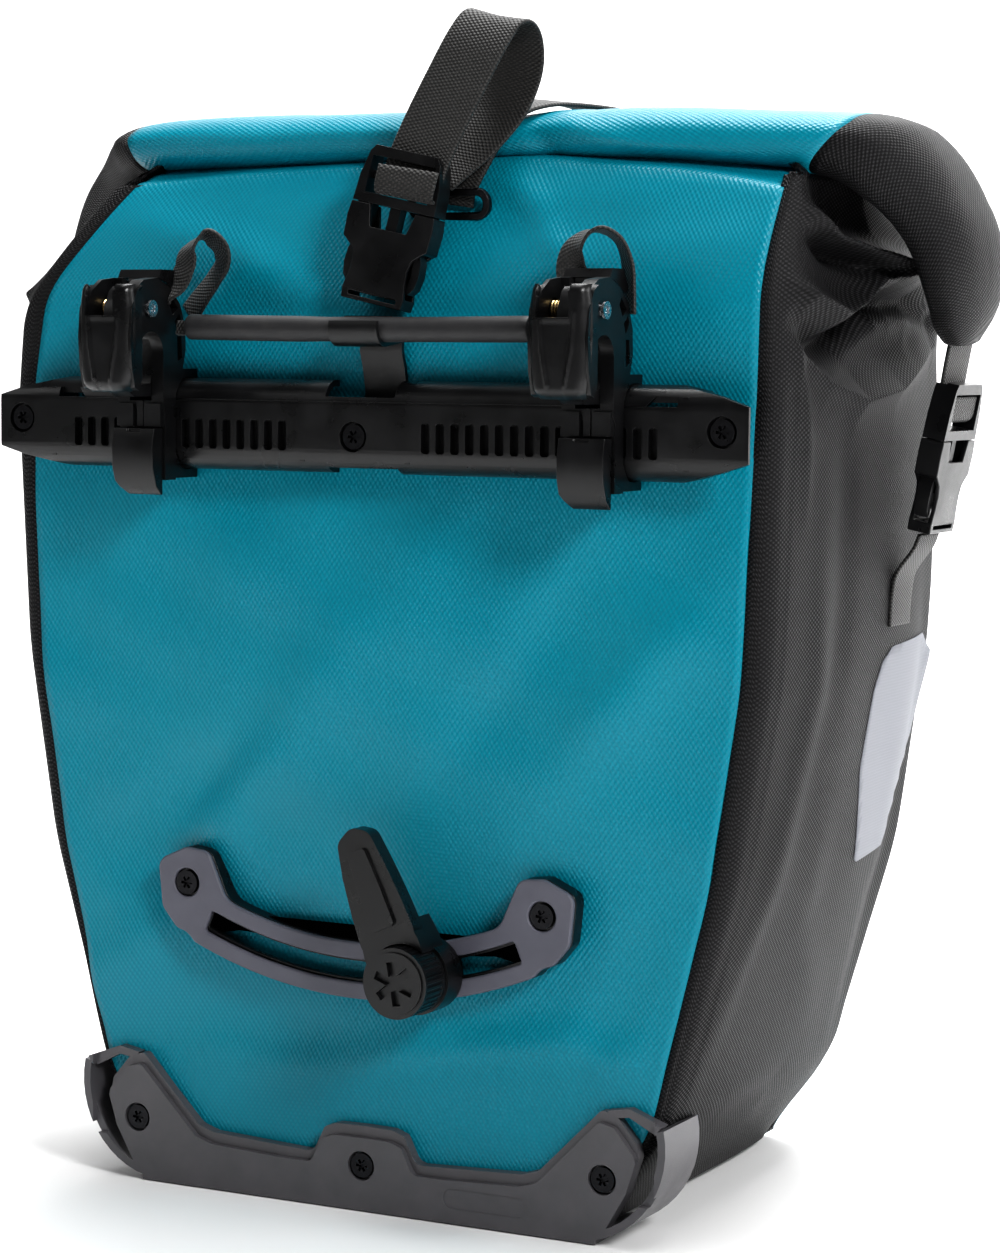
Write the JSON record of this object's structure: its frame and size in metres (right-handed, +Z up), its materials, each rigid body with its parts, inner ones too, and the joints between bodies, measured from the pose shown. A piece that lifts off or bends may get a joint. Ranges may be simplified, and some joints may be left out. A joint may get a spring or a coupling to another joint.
{
  "type": "pannier bag",
  "caption": "Roll-top bicycle pannier with an indexed mounting rail, locking rack hooks, a lifting grip, side-release buckles, a swivelling lower foot hook and an edge protector.",
  "frame": {"origin": "centre of the footprint of the bounding box, on the ground under the base", "axes": "+X along the mounting rail, +Y from the rack side to the front of the bag, +Z up"},
  "size_m": [0.396, 0.2289, 0.4385],
  "materials": {
    "teal_fabric": "coated weave, semi-gloss",
    "black_fabric": "coated woven, satin",
    "webbing": "ribbed polyester webbing",
    "reflective": "reflective tape",
    "black_plastic": "satin moulded nylon",
    "grey_plastic": "satin moulded nylon",
    "white_plastic": "board",
    "sleeve_rubber": "matt",
    "steel": "zinc plated",
    "black_steel": "black oxide"
  },
  "bodies": {
    "bag": {"back_panel": "teal_fabric", "front_panel": "teal_fabric", "left_gusset": "black_fabric", "right_gusset": "black_fabric", "base_panel": "black_fabric", "back_stiffener": "white_plastic", "inner_pocket": "black_fabric", "closure_roll": "teal_fabric", "left_roll_end": "black_fabric", "right_roll_end": "black_fabric", "left_reflector": "reflective", "right_reflector": "reflective", "top_rail": "black_plastic", "rail_screws": "black_steel", "rail_nuts": "steel", "anchor_strip": "webbing", "buckle_socket": "black_plastic", "closure_strap": "webbing", "d_ring": "steel", "left_side_socket": "black_plastic", "right_side_socket": "black_plastic", "left_side_anchor": "webbing", "right_side_anchor": "webbing", "foot_rail": "black_plastic", "foot_rail_face": "grey_plastic", "foot_rail_screws": "black_steel", "foot_rail_nuts": "steel", "edge_protector": "black_plastic", "protector_screws": "black_steel", "protector_nut": "steel"},
    "left_hook": {"left_hook": "black_plastic", "left_lever_pin": "steel", "left_lever_spring": "steel"},
    "right_hook": {"right_hook": "black_plastic", "right_lever_pin": "steel", "right_lever_spring": "steel"},
    "left_lever": {"left_lever": "black_plastic", "left_lever_strap": "webbing"},
    "right_lever": {"right_lever": "black_plastic", "right_lever_strap": "webbing"},
    "left_latch": {"left_rail_latch": "black_plastic"},
    "right_latch": {"right_rail_latch": "black_plastic"},
    "grip": {"handle_tube": "sleeve_rubber", "handle_strap": "webbing"},
    "closure_plug": {"buckle_plug": "black_plastic", "strap_loop": "webbing"},
    "left_plug": {"left_side_plug": "black_plastic", "left_side_strap": "webbing"},
    "right_plug": {"right_side_plug": "black_plastic", "right_side_strap": "webbing"},
    "foot_slide": {"foot_slider": "steel"},
    "foot_finger": {"foot_hook": "black_plastic"},
    "foot_knob": {"foot_knob": "black_plastic"}
  },
  "joints": [
    {"name": "left_hook_slide", "type": "slide", "parent": "bag", "child": "left_hook", "axis": [-1, 0, 0], "range_m": [0, 0.024]},
    {"name": "right_hook_slide", "type": "slide", "parent": "bag", "child": "right_hook", "axis": [1, 0, 0], "range_m": [0, 0.012]},
    {"name": "grip_lift", "type": "slide", "parent": "bag", "child": "grip", "axis": [0, 0, 1], "range_m": [0, 0.012]},
    {"name": "left_lever_turn", "type": "hinge", "parent": "left_hook", "child": "left_lever", "pos_m": [-0.086, -0.1, 0.335], "axis": [1, 0, 0], "range_deg": [0, 28], "stiffness_Nm_per_rad": 0.02, "springref_deg": -11.46},
    {"name": "right_lever_turn", "type": "hinge", "parent": "right_hook", "child": "right_lever", "pos_m": [0.099, -0.1, 0.335], "axis": [1, 0, 0], "range_deg": [0, 28], "stiffness_Nm_per_rad": 0.02, "springref_deg": -11.46},
    {"name": "left_latch_pull", "type": "slide", "parent": "left_hook", "child": "left_latch", "axis": [0, 0, -1], "range_m": [0, 0.003], "stiffness_N_per_m": 300, "springref_m": -0.002},
    {"name": "right_latch_pull", "type": "slide", "parent": "right_hook", "child": "right_latch", "axis": [0, 0, -1], "range_m": [0, 0.003], "stiffness_N_per_m": 300, "springref_m": -0.002},
    {"name": "closure_buckle_release", "type": "slide", "parent": "bag", "child": "closure_plug", "axis": [0.2068, 0.1045, 0.9728], "range_m": [0, 0.03]},
    {"name": "left_buckle_release", "type": "slide", "parent": "bag", "child": "left_plug", "axis": [-0.1908, 0, 0.9816], "range_m": [0, 0.026]},
    {"name": "right_buckle_release", "type": "slide", "parent": "bag", "child": "right_plug", "axis": [0.1908, 0, 0.9816], "range_m": [0, 0.026]},
    {"name": "foot_arc_slide", "type": "hinge", "parent": "bag", "child": "foot_slide", "pos_m": [0, -0.0705, 0.263], "axis": [0, 1, 0], "range_deg": [-9, 29]},
    {"name": "foot_hook_turn", "type": "hinge", "parent": "foot_slide", "child": "foot_finger", "pos_m": [0.02987, -0.0855, 0.09361], "axis": [0, 1, 0], "range_deg": [-67, 113]},
    {"name": "foot_knob_turn", "type": "hinge", "parent": "foot_slide", "child": "foot_knob", "pos_m": [0.02987, -0.0955, 0.09361], "axis": [0, 1, 0], "continuous": true}
  ],
  "couplings": [
    {"joint": "left_lever_turn", "follows": "grip_lift", "rad_per_m": 40.714},
    {"joint": "right_lever_turn", "follows": "grip_lift", "rad_per_m": 40.714}
  ]
}
